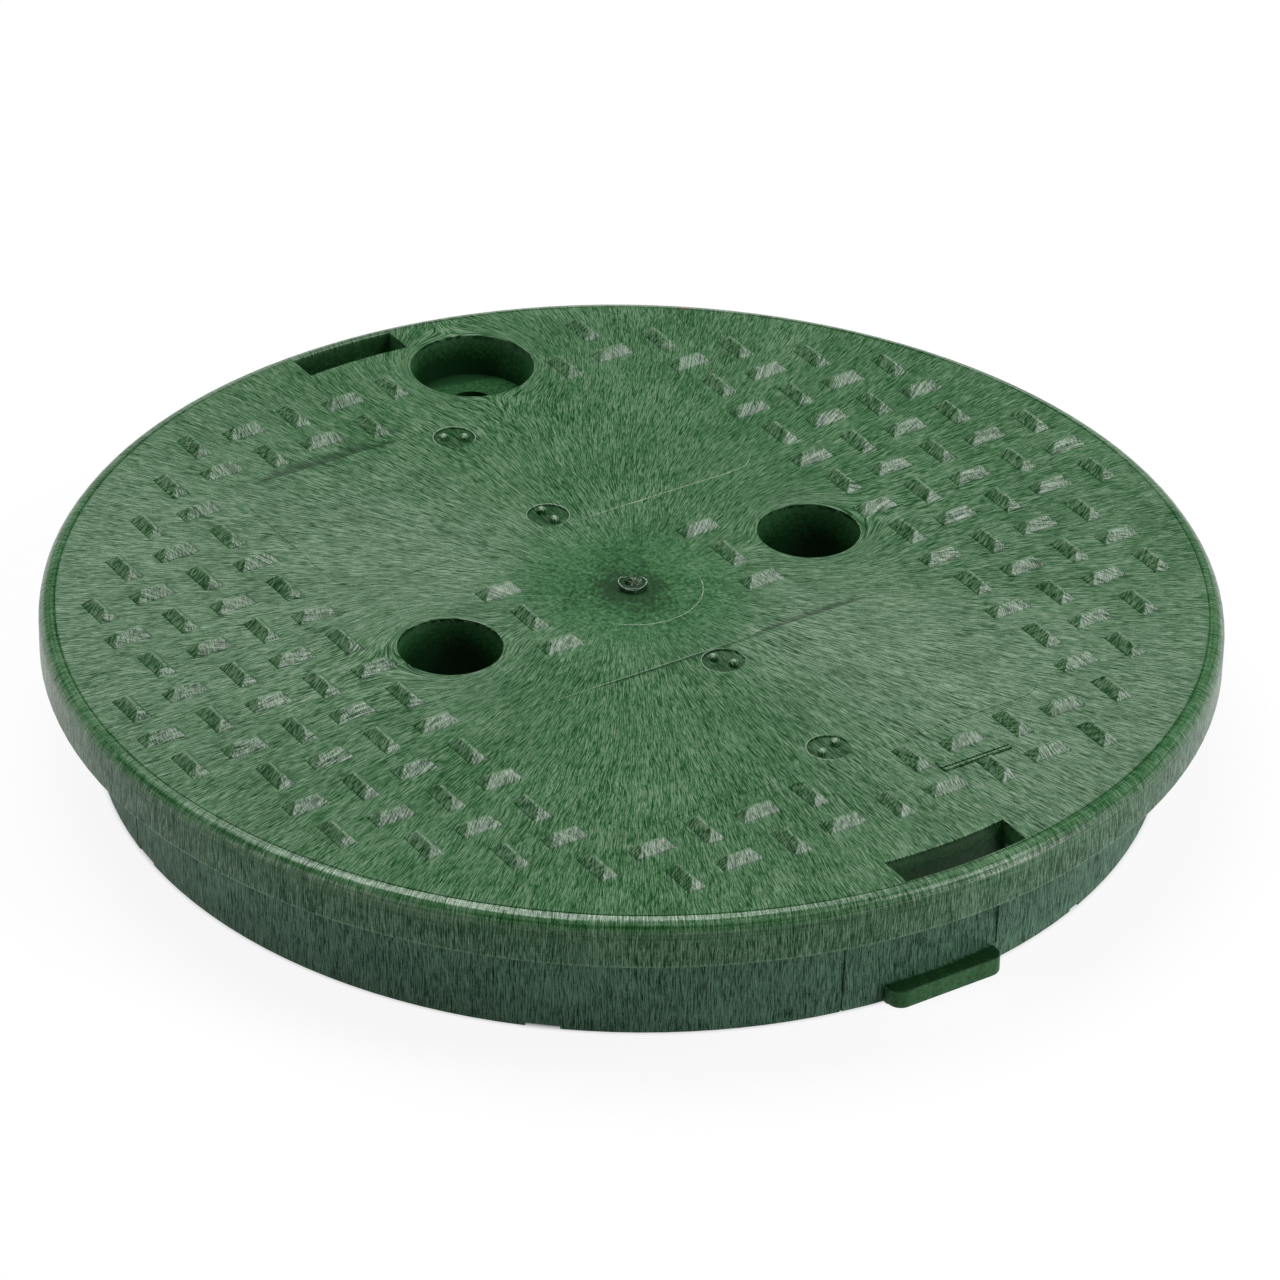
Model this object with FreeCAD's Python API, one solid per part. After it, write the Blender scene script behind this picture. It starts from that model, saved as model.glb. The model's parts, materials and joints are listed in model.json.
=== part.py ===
"""Round valve box cover, moulded in one piece of plastic.

A flat plate with raised tread lugs sits in a turned-down rim. A drafted skirt below the plate drops into the
valve box, and two latch tabs at its foot snap under the box's edge. The origin is at the middle of the
skirt's foot, +Z points up, +X runs through the two finger holes, and the front latch is on the -Y side.
"""
import FreeCAD
import Part

import os
from math import cos, hypot, radians, sin, tan

# Rim, plate and skirt
OUTER_DIAMETER = 254.0
COVER_HEIGHT = 34.7
RIM_DEPTH = 10.5
RIM_WALL = 3.6
RIM_EDGE_RADIUS = 3.1
RIM_EDGE_STEPS = 4
PLATE_THICKNESS = 5.0
RIM_OVERHANG = 11.75
SKIRT_WALL = 3.8
SKIRT_DRAFT_DEGREES = 2.8
MOULD_LINE_WIDTH = 0.5
MOULD_LINE_DEPTH = 0.35

# Finger holes and their sleeves
FINGER_HOLE_DIAMETER = 22.4
FINGER_HOLE_SPACING = 91.5
FINGER_SLEEVE_WALL = 2.8
FINGER_SLEEVE_DEPTH = 20.0

# Bolt seat
BOLT_SEAT_ANGLE = 78.1
BOLT_SEAT_INSET = 25.1
BOLT_SEAT_TOP_DIAMETER = 28.1
BOLT_SEAT_FLOOR_DIAMETER = 26.2
BOLT_SEAT_DEPTH = 9.8
BOLT_SEAT_FLOOR = 4.0
BOLT_SEAT_WALL = 2.8
BOLT_HOLE_DIAMETER = 10.2

# Latch slots and tabs
FRONT_SLOT_LENGTH = 29.3
FRONT_LATCH_X = 1.0
BACK_SLOT_LENGTH = 25.4
BACK_LATCH_X = 0.0
SLOT_RIM_LEDGE = 0.4
TAB_END_CLEARANCE = 1.05
TAB_REACH = 4.2
TAB_LIFT = 0.4
TAB_THICKNESS = 4.3
TAB_CORNER_RADIUS = 3.0

# Foot of the skirt
FOOT_NOTCH_WIDTH = 7.2
NARROW_NOTCH_WIDTH = 3.4
FOOT_NOTCH_DEPTH = 0.9
FOOT_NOTCH_ANGLES = (48.4, 175.6)
NARROW_NOTCH_ANGLE = 110.6
SKIRT_SEAM_WIDTH = 0.4
SKIRT_SEAM_DEPTH = 0.4
SKIRT_SEAM_ANGLES = (79.0, 173.6)

# Ribs under the plate
RIB_COUNT = 6
RIB_WALL = 2.6
RIB_DEPTH = 14.0
HUB_DIAMETER = 20.0
RIB_RING_DIAMETER = 156.0

# Insert panels on the plate
PANEL_LENGTH = 107.5
PANEL_WIDTH = 49.5
PANEL_OFFSET = 54.3
PANEL_CORNER_RADIUS = 8.0
PANEL_RISE = 0.12

# Marks of the screws that hold the panels in the mould
SCREW_MARK_DIAMETER = 9.1
SCREW_MARK_DEPTH = 0.45
SCREW_MARK_SPACING = 39.2
SCREW_MARK_X = 0.45

# Gate mark in the middle of the plate
GATE_RING_DIAMETER = 5.4
GATE_RING_WALL = 1.0
GATE_RING_HEIGHT = 1.2

# Raised bar near the front of the plate
BAR_X = 24.2
BAR_Y = -92.0
BAR_LENGTH = 17.0
BAR_WIDTH = 3.6
BAR_RISE = 0.6
BAR_GROOVE_INSET = 0.7
BAR_GROOVE_WIDTH = 0.4
BAR_GROOVE_DEPTH = 0.35

# Tread lugs
LUG_LENGTH = 9.6
LUG_WIDTH = 4.5
LUG_HEIGHT = 2.05
LUG_RIDGE_LENGTH = 5.4
LUG_RIDGE_WIDTH = 0.5
LUG_PITCH_X = 12.78
LUG_PITCH_Y = 12.41
LUG_FIELD_SHIFT = 0.7
LUG_RIM_MARGIN = 10.7
LUG_PANEL_MARGIN = 5.5
LUG_FINGER_CLEARANCE = 5.2
LUG_SEAT_CLEARANCE = 5.0
LUG_GATE_CLEARANCE = 16.8
LUG_SCREW_CLEARANCE = 10.0
LUG_SLOT_MARGIN = 7.4

# Depth by which joined shapes reach into each other, and cutters past the faces they open
JOIN_OVERLAP = 1.0
CUT_OVERRUN = 1.0

outer_radius = OUTER_DIAMETER / 2
foot_radius = outer_radius - RIM_OVERHANG
skirt_inner_radius = foot_radius - SKIRT_WALL
plate_underside = COVER_HEIGHT - PLATE_THICKNESS
rim_inner_radius = outer_radius - RIM_WALL
slot_outer_radius = rim_inner_radius - SLOT_RIM_LEDGE
tab_top = TAB_LIFT + TAB_THICKNESS
bolt_seat_x = (outer_radius - BOLT_SEAT_INSET) * cos(radians(BOLT_SEAT_ANGLE))
bolt_seat_y = (outer_radius - BOLT_SEAT_INSET) * sin(radians(BOLT_SEAT_ANGLE))
panel_top = COVER_HEIGHT + PANEL_RISE


def point(x, y, z):
    """A place in the cover's own frame."""
    return FreeCAD.Vector(x, y, z)


def upright_cylinder(radius, bottom, top, x=0.0, y=0.0):
    """An upright cylinder between two heights."""
    return Part.makeCylinder(radius, top - bottom, point(x, y, bottom))


def upright_tube(outer, inner, bottom, top, x=0.0, y=0.0):
    """An upright tube between two heights."""
    return upright_cylinder(outer, bottom, top, x, y).cut(upright_cylinder(inner, bottom, top, x, y))


def upright_box(length, width, bottom, top, x=0.0, y=0.0):
    """An upright block with its plan centred on a point."""
    return Part.makeBox(length, width, top - bottom, point(x - length / 2, y - width / 2, bottom))


def turned(shape, angle):
    """A copy of a shape turned about the cover's axis."""
    copy = shape.copy()
    copy.rotate(point(0, 0, 0), point(0, 0, 1), angle)
    return copy


def rounded_block(length, width, radius, bottom, top, x=0.0, y=0.0):
    """An upright block with its four upright edges rounded."""
    block = upright_box(length, width, bottom, top, x, y)
    upright_edges = [edge for edge in block.Edges if abs(edge.tangentAt(edge.FirstParameter).z) > 0.5]
    return block.makeFillet(radius, upright_edges)


def skirt_radius(height):
    """Outer radius of the drafted skirt at a height above its foot."""
    return foot_radius + height * tan(radians(SKIRT_DRAFT_DEGREES))


def rim_edge():
    """Points round the rim's top edge, from the plate to the outer face."""
    points = []
    for step in range(RIM_EDGE_STEPS + 1):
        angle = radians(90 * step / RIM_EDGE_STEPS)
        radius = outer_radius - RIM_EDGE_RADIUS * (1 - sin(angle))
        points.append(point(radius, 0, COVER_HEIGHT - RIM_EDGE_RADIUS * (1 - cos(angle))))
    return points


def turned_shell():
    """Plate, turned-down rim and drafted skirt, revolved from one section."""
    edge = rim_edge()
    mould_line = [
        edge[0] - point(MOULD_LINE_WIDTH, 0, 0),
        edge[0] - point(MOULD_LINE_WIDTH / 2, 0, MOULD_LINE_DEPTH),
    ]
    under_rim = [
        point(outer_radius, 0, COVER_HEIGHT - RIM_DEPTH),
        point(rim_inner_radius, 0, COVER_HEIGHT - RIM_DEPTH),
        point(rim_inner_radius, 0, plate_underside),
    ]
    skirt = [
        point(skirt_radius(plate_underside), 0, plate_underside),
        point(foot_radius, 0, 0),
        point(skirt_inner_radius, 0, 0),
        point(skirt_inner_radius, 0, plate_underside),
    ]
    axis = [point(0, 0, plate_underside), point(0, 0, COVER_HEIGHT)]
    outline = mould_line + edge + under_rim + skirt + axis
    section = Part.Face(Part.makePolygon(outline + outline[:1]))
    return section.revolve(point(0, 0, 0), point(0, 0, 1), 360)


def underside_parts():
    """Hub, radial ribs, ring rib, finger sleeves and the bolt seat's cup."""
    rib_bottom = plate_underside - RIB_DEPTH
    rib_top = plate_underside + JOIN_OVERLAP
    rib_reach = skirt_inner_radius + JOIN_OVERLAP
    parts = [upright_cylinder(HUB_DIAMETER / 2, rib_bottom, rib_top)]
    ring_middle = RIB_RING_DIAMETER / 2
    parts.append(upright_tube(ring_middle + RIB_WALL / 2, ring_middle - RIB_WALL / 2, rib_bottom, rib_top))
    for number in range(RIB_COUNT):
        rib = upright_box(rib_reach, RIB_WALL, rib_bottom, rib_top, x=rib_reach / 2)
        parts.append(turned(rib, number * 360 / RIB_COUNT))
    sleeve_radius = FINGER_HOLE_DIAMETER / 2 + FINGER_SLEEVE_WALL
    for side in (-1, 1):
        parts.append(upright_cylinder(
            sleeve_radius, COVER_HEIGHT - FINGER_SLEEVE_DEPTH, rib_top, x=side * FINGER_HOLE_SPACING / 2))
    cup_radius = BOLT_SEAT_TOP_DIAMETER / 2 + BOLT_SEAT_WALL
    cup_bottom = COVER_HEIGHT - BOLT_SEAT_DEPTH - BOLT_SEAT_FLOOR
    parts.append(upright_cylinder(cup_radius, cup_bottom, rib_top, bolt_seat_x, bolt_seat_y))
    return parts


def latch_tab(slot_length, latch_x, side):
    """Shelf at the skirt's foot that snaps under the edge of the box."""
    inner = foot_radius - SKIRT_WALL / 2
    outer = foot_radius + TAB_REACH
    hidden = inner - TAB_CORNER_RADIUS
    tab = rounded_block(
        slot_length - 2 * TAB_END_CLEARANCE, outer - hidden, TAB_CORNER_RADIUS,
        TAB_LIFT, tab_top, latch_x, side * (outer + hidden) / 2)
    return tab.cut(upright_cylinder(inner, TAB_LIFT - CUT_OVERRUN, tab_top + CUT_OVERRUN))


def latch_slot(slot_length, latch_x, side):
    """Straight well that opens the plate above a tab and faces the skirt down to it."""
    top = COVER_HEIGHT + CUT_OVERRUN
    ring = upright_tube(slot_outer_radius, foot_radius, tab_top, top)
    window = upright_box(slot_length, outer_radius, tab_top, top, latch_x, side * outer_radius)
    return ring.common(window)


def holes():
    """Finger holes, bolt seat and bolt hole."""
    top = COVER_HEIGHT + CUT_OVERRUN
    cutters = []
    for side in (-1, 1):
        cutters.append(upright_cylinder(
            FINGER_HOLE_DIAMETER / 2, -CUT_OVERRUN, top, x=side * FINGER_HOLE_SPACING / 2))
    seat_floor = COVER_HEIGHT - BOLT_SEAT_DEPTH
    seat_taper = (BOLT_SEAT_TOP_DIAMETER - BOLT_SEAT_FLOOR_DIAMETER) / 2 / BOLT_SEAT_DEPTH
    cutters.append(Part.makeCone(
        BOLT_SEAT_FLOOR_DIAMETER / 2, BOLT_SEAT_TOP_DIAMETER / 2 + seat_taper * CUT_OVERRUN,
        BOLT_SEAT_DEPTH + CUT_OVERRUN, point(bolt_seat_x, bolt_seat_y, seat_floor)))
    cutters.append(upright_cylinder(BOLT_HOLE_DIAMETER / 2, -CUT_OVERRUN, top, bolt_seat_x, bolt_seat_y))
    return cutters


def foot_cuts():
    """Shallow notches in the skirt's foot and upright seams in its outer face."""
    cutters = []
    notch_length = SKIRT_WALL + 2 * CUT_OVERRUN
    notch_middle = foot_radius + CUT_OVERRUN - notch_length / 2
    notch = upright_box(notch_length, FOOT_NOTCH_WIDTH, -CUT_OVERRUN, FOOT_NOTCH_DEPTH, notch_middle)
    narrow_notch = upright_box(notch_length, NARROW_NOTCH_WIDTH, -CUT_OVERRUN, FOOT_NOTCH_DEPTH, notch_middle)
    seam_length = skirt_radius(plate_underside) - foot_radius + SKIRT_SEAM_DEPTH
    seam = upright_box(
        seam_length, SKIRT_SEAM_WIDTH, -CUT_OVERRUN, plate_underside, x=seam_length / 2 - SKIRT_SEAM_DEPTH)
    seam.rotate(point(0, 0, 0), point(0, 1, 0), SKIRT_DRAFT_DEGREES)
    seam.translate(point(foot_radius, 0, 0))
    for opposite in (0, 180):
        for angle in FOOT_NOTCH_ANGLES:
            cutters.append(turned(notch, angle + opposite))
        cutters.append(turned(narrow_notch, NARROW_NOTCH_ANGLE + opposite))
        for angle in SKIRT_SEAM_ANGLES:
            cutters.append(turned(seam, angle + opposite))
    return cutters


def screw_places():
    """Middle of each screw mark, two on each panel."""
    places = []
    for side in (-1, 1):
        for reach in (-1, 1):
            places.append((SCREW_MARK_X, side * PANEL_OFFSET + reach * SCREW_MARK_SPACING / 2))
    return places


def panels():
    """Two flat insert panels that stand a hair proud of the plate."""
    slabs = []
    for side in (-1, 1):
        slabs.append(rounded_block(
            PANEL_LENGTH, PANEL_WIDTH, PANEL_CORNER_RADIUS,
            COVER_HEIGHT - JOIN_OVERLAP, panel_top, y=side * PANEL_OFFSET))
    return slabs


def screw_recesses():
    """Round recess that each screw head leaves in its panel."""
    floor = panel_top - SCREW_MARK_DEPTH
    return [
        upright_cylinder(SCREW_MARK_DIAMETER / 2, floor, panel_top + CUT_OVERRUN, x, y)
        for x, y in screw_places()
    ]


def gate_mark():
    """Broken-off gate, a ring that stands on the middle of the plate."""
    radius = GATE_RING_DIAMETER / 2
    return upright_tube(
        radius, radius - GATE_RING_WALL, COVER_HEIGHT - JOIN_OVERLAP, COVER_HEIGHT + GATE_RING_HEIGHT)


def raised_bar():
    """Low plain bar between the lugs near the front, with a fine groove behind its front edge."""
    top = COVER_HEIGHT + BAR_RISE
    bar = upright_box(BAR_LENGTH, BAR_WIDTH, COVER_HEIGHT - JOIN_OVERLAP, top, BAR_X, BAR_Y)
    groove_y = BAR_Y - BAR_WIDTH / 2 + BAR_GROOVE_INSET + BAR_GROOVE_WIDTH / 2
    groove = upright_box(
        BAR_LENGTH, BAR_GROOVE_WIDTH, top - BAR_GROOVE_DEPTH, top + CUT_OVERRUN, BAR_X, groove_y)
    return bar.cut(groove)


def lug():
    """One hip-roofed lug that runs along X, standing on the plate at the origin."""
    slope_x = (LUG_LENGTH - LUG_RIDGE_LENGTH) / 2 / LUG_HEIGHT
    slope_y = (LUG_WIDTH - LUG_RIDGE_WIDTH) / 2 / LUG_HEIGHT
    foot_x = LUG_LENGTH / 2 + slope_x * JOIN_OVERLAP
    foot_y = LUG_WIDTH / 2 + slope_y * JOIN_OVERLAP
    ridge_x = LUG_RIDGE_LENGTH / 2
    ridge_y = LUG_RIDGE_WIDTH / 2
    wedge = Part.makeWedge(
        -foot_x, -JOIN_OVERLAP, -foot_y, -ridge_y, -ridge_x,
        foot_x, LUG_HEIGHT, foot_y, ridge_y, ridge_x)
    wedge.rotate(point(0, 0, 0), point(1, 0, 0), 90)
    wedge.translate(point(0, 0, COVER_HEIGHT))
    return wedge


def lug_is_clear(x, y):
    """Whether a lug at this place keeps off the panels, holes, gate, slots and screw marks."""
    half = LUG_LENGTH / 2
    in_panel_length = abs(x) < PANEL_LENGTH / 2 + LUG_PANEL_MARGIN
    in_panel_width = abs(abs(y) - PANEL_OFFSET) < PANEL_WIDTH / 2 + LUG_PANEL_MARGIN
    finger_gap = hypot(abs(x) - FINGER_HOLE_SPACING / 2, y) - FINGER_HOLE_DIAMETER / 2
    seat_gap = hypot(x - bolt_seat_x, y - bolt_seat_y) - BOLT_SEAT_TOP_DIAMETER / 2
    gate_gap = hypot(x, y) - GATE_RING_DIAMETER / 2
    screw_gap = min(hypot(x - at_x, y - at_y) for at_x, at_y in screw_places()) - SCREW_MARK_DIAMETER / 2
    slot_x, slot_length = (FRONT_LATCH_X, FRONT_SLOT_LENGTH) if y < 0 else (BACK_LATCH_X, BACK_SLOT_LENGTH)
    beside_slot = abs(x - slot_x) < slot_length / 2 + LUG_SLOT_MARGIN
    near_slot = abs(y) > foot_radius - half - LUG_SLOT_MARGIN
    return not (
        (in_panel_length and in_panel_width)
        or finger_gap < LUG_FINGER_CLEARANCE
        or seat_gap < LUG_SEAT_CLEARANCE
        or gate_gap < LUG_GATE_CLEARANCE
        or screw_gap < LUG_SCREW_CLEARANCE
        or (beside_slot and near_slot))


def tread_lugs():
    """Lugs on a lattice inside a circle, each turned a quarter from its neighbours."""
    along_x = lug()
    along_y = turned(along_x, 90)
    field_radius = outer_radius - LUG_RIM_MARGIN
    steps = int(field_radius / min(LUG_PITCH_X, LUG_PITCH_Y))
    lugs = []
    for column in range(-steps, steps + 1):
        for row in range(-steps, steps + 1):
            x = column * LUG_PITCH_X
            y = row * LUG_PITCH_Y + LUG_FIELD_SHIFT
            reach = max(hypot(x, y), hypot(column, row) * LUG_PITCH_X)
            if reach > field_radius or not lug_is_clear(x, y):
                continue
            piece = (along_x if (column + row) % 2 else along_y).copy()
            piece.translate(point(x, y, 0))
            lugs.append(piece)
    return lugs


cover = turned_shell().fuse(underside_parts())
cover = cover.cut(holes() + foot_cuts())
front_latch = (FRONT_SLOT_LENGTH, FRONT_LATCH_X, -1)
back_latch = (BACK_SLOT_LENGTH, BACK_LATCH_X, 1)
cover = cover.cut([latch_slot(*front_latch), latch_slot(*back_latch)])
cover = cover.fuse([latch_tab(*front_latch), latch_tab(*back_latch)])
cover = cover.fuse(panels()).cut(screw_recesses())
cover = cover.fuse([gate_mark(), raised_bar()] + tread_lugs())
cover = cover.removeSplitter()

os.makedirs("parts", exist_ok=True)
cover.exportStep("parts/valve_box_cover.step")
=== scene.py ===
import json
import random
from math import atan2, cos, hypot, pi, radians, sin
from types import SimpleNamespace

import bmesh
import bpy
from mathutils import Matrix, Vector


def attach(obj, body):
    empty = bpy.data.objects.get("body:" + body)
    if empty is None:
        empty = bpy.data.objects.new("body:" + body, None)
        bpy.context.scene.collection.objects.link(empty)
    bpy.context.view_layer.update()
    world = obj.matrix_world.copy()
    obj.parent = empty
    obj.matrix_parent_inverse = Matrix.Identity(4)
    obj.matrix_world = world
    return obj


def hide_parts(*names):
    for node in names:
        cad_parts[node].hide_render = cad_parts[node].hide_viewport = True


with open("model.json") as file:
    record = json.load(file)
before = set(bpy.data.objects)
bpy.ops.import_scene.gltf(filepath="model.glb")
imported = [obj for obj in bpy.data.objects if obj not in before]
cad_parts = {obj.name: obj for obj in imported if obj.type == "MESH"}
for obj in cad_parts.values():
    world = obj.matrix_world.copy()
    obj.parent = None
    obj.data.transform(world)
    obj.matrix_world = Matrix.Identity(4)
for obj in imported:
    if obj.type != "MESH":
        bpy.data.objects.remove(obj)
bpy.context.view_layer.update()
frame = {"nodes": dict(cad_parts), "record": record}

# Moulded cover
# One injection moulding of green plastic: plate, turned-down rim, skirt, latch tabs and tread lugs together.
# A mould leaves no edge quite sharp, so a copy of the solid is welded and its corners are rounded.
MM = 0.001
COVER = "valve_box_cover"
PLATE_TOP = 34.7 * MM
PANEL_RISE = 0.12 * MM
PANEL_TOP = PLATE_TOP + PANEL_RISE
LUG_HEIGHT = 2.05 * MM
LUG_TOP_SHARE = 0.9
RIM_DEPTH = 10.5 * MM
RIM_UNDERSIDE = PLATE_TOP - RIM_DEPTH
MOULD_LINE_RADIUS = 123.65 * MM
MOULD_LINE_WIDTH = 0.5 * MM
SKIRT_FOOT_RADIUS = 115.25 * MM
SKIRT_INNER_RADIUS = SKIRT_FOOT_RADIUS - 1 * MM
TAB_TOP = 4.7 * MM
TAB_INNER_RADIUS = SKIRT_FOOT_RADIUS + 1 * MM
TAB_CORNER_RADIUS = SKIRT_FOOT_RADIUS + 3 * MM
LEAST_STEP = 0.1 * MM
LEVEL_TOLERANCE = 0.02 * MM
UPRIGHT_TOLERANCE = 0.3 * MM
PLACE_TOLERANCE = 0.01 * MM
CHORD_TOLERANCE = 0.001 * MM
WELD_DISTANCE = 0.002 * MM
FLAT_ANGLE = radians(0.3)
CORNER_ANGLE = radians(35)
SMOOTH_ANGLE = radians(32)
HOLE_CUTS = 2
FINE_STEPS = 2
TAB_EDGE_STEPS = 3
TAB_CORNER_STEPS = 5
LUG_ROUNDING = 0.2 * MM
SMALL_RISE_ROUNDING = 0.12 * MM
PANEL_ROUNDING = 0.1 * MM
OPENING_ROUNDING = 0.3 * MM
TAB_CORNER_ROUNDING = 2.5 * MM
TAB_EDGE_ROUNDING = 0.5 * MM
RIM_ROUNDING = 0.4 * MM
SKIRT_FOOT_ROUNDING = 0.4 * MM


def edge_heights(edge):
    """Lowest and highest end of an edge."""
    heights = sorted(vertex.co.z for vertex in edge.verts)
    return heights[0], heights[1]


def edge_radius(edge):
    """How far the middle of an edge lies from the cover's axis."""
    middle = (edge.verts[0].co + edge.verts[1].co) / 2
    return hypot(middle.x, middle.y)


def is_level(edge, height):
    """Whether both ends of an edge lie at one height."""
    low, high = edge_heights(edge)
    return abs(low - height) < LEVEL_TOLERANCE and abs(high - height) < LEVEL_TOLERANCE


def is_lug_edge(edge):
    """A sloping corner of a lug or an edge of its narrow top."""
    return edge_heights(edge)[1] > PLATE_TOP + LUG_TOP_SHARE * LUG_HEIGHT


def is_panel_edge(edge):
    """The edge of an insert panel or of a screw recess in one."""
    return is_level(edge, PANEL_TOP)


def is_plate_opening(edge):
    """The lip of a hole or slot in the plate."""
    on_mould_line = abs(edge_radius(edge) - MOULD_LINE_RADIUS) < MOULD_LINE_WIDTH
    return is_level(edge, PLATE_TOP) and not on_mould_line


def is_tab_edge(edge):
    """An outer edge of a latch tab at the skirt's foot."""
    return edge_heights(edge)[1] < TAB_TOP + LEAST_STEP and edge_radius(edge) > TAB_INNER_RADIUS


def is_tab_corner(edge):
    """An upright outer corner of a latch tab."""
    first, second = edge.verts
    upright = (first.co.xy - second.co.xy).length < UPRIGHT_TOLERANCE
    return is_tab_edge(edge) and upright and edge_radius(edge) > TAB_CORNER_RADIUS


def is_rim_lower_edge(edge):
    """The outer lower corner of the rim."""
    return is_level(edge, RIM_UNDERSIDE) and edge_radius(edge) > MOULD_LINE_RADIUS


def is_skirt_foot_edge(edge):
    """The outer lower corner of the skirt."""
    return is_level(edge, 0.0) and edge_radius(edge) > SKIRT_INNER_RADIUS


def is_small_rise(edge):
    """A corner of the raised bar or of the gate's ring."""
    high = edge_heights(edge)[1]
    return high > PANEL_TOP + LEAST_STEP and not is_lug_edge(edge)


def refine_circle(solid, x, y, radius):
    """Cut each chord of a round hole and push the new points out to its true radius."""
    centre = Vector((x, y))

    def on_circle(vertex):
        return abs((vertex.co.xy - centre).length - radius) < PLACE_TOLERANCE

    chords = [
        edge for edge in solid.edges
        if all(on_circle(vertex) for vertex in edge.verts)
        and edge_heights(edge)[1] - edge_heights(edge)[0] < CHORD_TOLERANCE
    ]
    cut = bmesh.ops.subdivide_edges(solid, edges=chords, cuts=HOLE_CUTS)
    for vertex in cut["geom_split"]:
        if isinstance(vertex, bmesh.types.BMVert):
            outward = (vertex.co.xy - centre).normalized() * radius
            vertex.co.xy = centre + outward


def cut_up_wide_faces(solid, chosen):
    """Cut faces of many corners into triangles, so that a rounding only reshapes what lies beside it."""
    wide_faces = [face for face in chosen if len(face.verts) > 4]
    bmesh.ops.triangulate(solid, faces=wide_faces, quad_method="BEAUTY", ngon_method="BEAUTY")


def round_corners(solid, chosen, radius, steps):
    """Round the outer corners that a test picks."""
    corners = [
        edge for edge in solid.edges
        if len(edge.link_faces) == 2 and edge.calc_face_angle_signed(0.0) > CORNER_ANGLE and chosen(edge)
    ]
    bmesh.ops.bevel(
        solid, geom=corners, offset=radius, segments=steps, profile=0.5, affect="EDGES",
        clamp_overlap=False)


holes = []
for mount in frame["record"]["mounts"]:
    if mount["kind"] == "bore":
        holes.append((mount["pos_m"][0], mount["pos_m"][1], mount["dims"]["r_mm"] * MM))
bolt_x, bolt_y = holes[0][:2]
BOLT_SEAT_TOP_RADIUS = 14.05 * MM
BOLT_SEAT_FLOOR_RADIUS = 13.1 * MM
SCREW_MARK_RADIUS = 4.55 * MM
SCREW_MARK_X = 0.45 * MM
SCREW_MARK_REACHES = (34.7 * MM, 73.9 * MM)
SCREW_MARK_PLACES = [(SCREW_MARK_X, side * reach) for side in (-1, 1) for reach in SCREW_MARK_REACHES]

solid = bmesh.new()
bare_mesh = frame["nodes"][COVER].data.copy()
bare_mesh.attributes.remove(bare_mesh.attributes["custom_normal"])
solid.from_mesh(bare_mesh)
bpy.data.meshes.remove(bare_mesh)
bmesh.ops.remove_doubles(solid, verts=solid.verts, dist=WELD_DISTANCE)
bmesh.ops.dissolve_limit(solid, angle_limit=FLAT_ANGLE, verts=solid.verts, edges=solid.edges)
plate_faces = [
    face for face in solid.faces
    if abs(face.calc_center_median().z - PLATE_TOP) < PLACE_TOLERANCE
]
cut_up_wide_faces(solid, plate_faces)
for x, y, radius in holes:
    refine_circle(solid, x, y, radius)
refine_circle(solid, bolt_x, bolt_y, BOLT_SEAT_TOP_RADIUS)
refine_circle(solid, bolt_x, bolt_y, BOLT_SEAT_FLOOR_RADIUS)
for x, y in SCREW_MARK_PLACES:
    refine_circle(solid, x, y, SCREW_MARK_RADIUS)
cut_up_wide_faces(solid, solid.faces)
round_corners(solid, is_lug_edge, LUG_ROUNDING, FINE_STEPS)
round_corners(solid, is_small_rise, SMALL_RISE_ROUNDING, FINE_STEPS)
round_corners(solid, is_panel_edge, PANEL_ROUNDING, FINE_STEPS)
round_corners(solid, is_plate_opening, OPENING_ROUNDING, FINE_STEPS)
round_corners(solid, is_tab_corner, TAB_CORNER_ROUNDING, TAB_CORNER_STEPS)
round_corners(solid, is_tab_edge, TAB_EDGE_ROUNDING, TAB_EDGE_STEPS)
round_corners(solid, is_rim_lower_edge, RIM_ROUNDING, FINE_STEPS)
round_corners(solid, is_skirt_foot_edge, SKIRT_FOOT_ROUNDING, FINE_STEPS)
for face in solid.faces:
    face.smooth = True
cover_mesh = bpy.data.meshes.new("moulded_cover")
solid.to_mesh(cover_mesh)
solid.free()
cover_mesh.set_sharp_from_angle(angle=SMOOTH_ANGLE)
cover = bpy.data.objects.new("moulded_cover", cover_mesh)
bpy.context.scene.collection.objects.link(cover)
even_shading = cover.modifiers.new("even_shading", "WEIGHTED_NORMAL")
even_shading.keep_sharp = True
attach(cover, "root")
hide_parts(COVER)

# Streaked green plastic
# The melt ran out from the gate in the middle and parted round the cores of the holes, and its pale filler
# shows as fine streaks along that flow. They run outwards on the plate and straight down the rim and skirt.
STREAK_BASE_RADIUS = 4.0
NOISE_ROUGHNESS = 0.55
BUMP_DEPTH = 0.05 * MM
DEEP_GREEN = (0.010, 0.050, 0.014, 1)
LEAF_GREEN = (0.024, 0.106, 0.031, 1)
MID_GREEN = (0.047, 0.156, 0.057, 1)
PALE_GREEN = (0.092, 0.204, 0.098, 1)
SILVER_GREEN = (0.190, 0.285, 0.185, 1)
# Greyer, bluer greens of the skirt and the rim's band: a painted reflection of the pale floor
SKIRT_DARK = (0.006, 0.036, 0.018, 1)
SKIRT_LIGHT = (0.166, 0.338, 0.218, 1)
STAIN_BROWN = (0.200, 0.090, 0.065, 1)


def start_material(name):
    """A new material, its node tree and its shader."""
    material = bpy.data.materials.new(name)
    material.use_nodes = True
    tree = material.node_tree
    return material, tree, tree.nodes["Principled BSDF"]


def add_node(tree, kind, inputs, **settings):
    """A shader node with its settings, and a value or a socket for each named input."""
    made = tree.nodes.new(kind)
    for name, value in settings.items():
        setattr(made, name, value)
    for name, value in inputs.items():
        if isinstance(value, bpy.types.NodeSocket):
            tree.links.new(value, made.inputs[name])
        else:
            made.inputs[name].default_value = value
    return made


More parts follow.
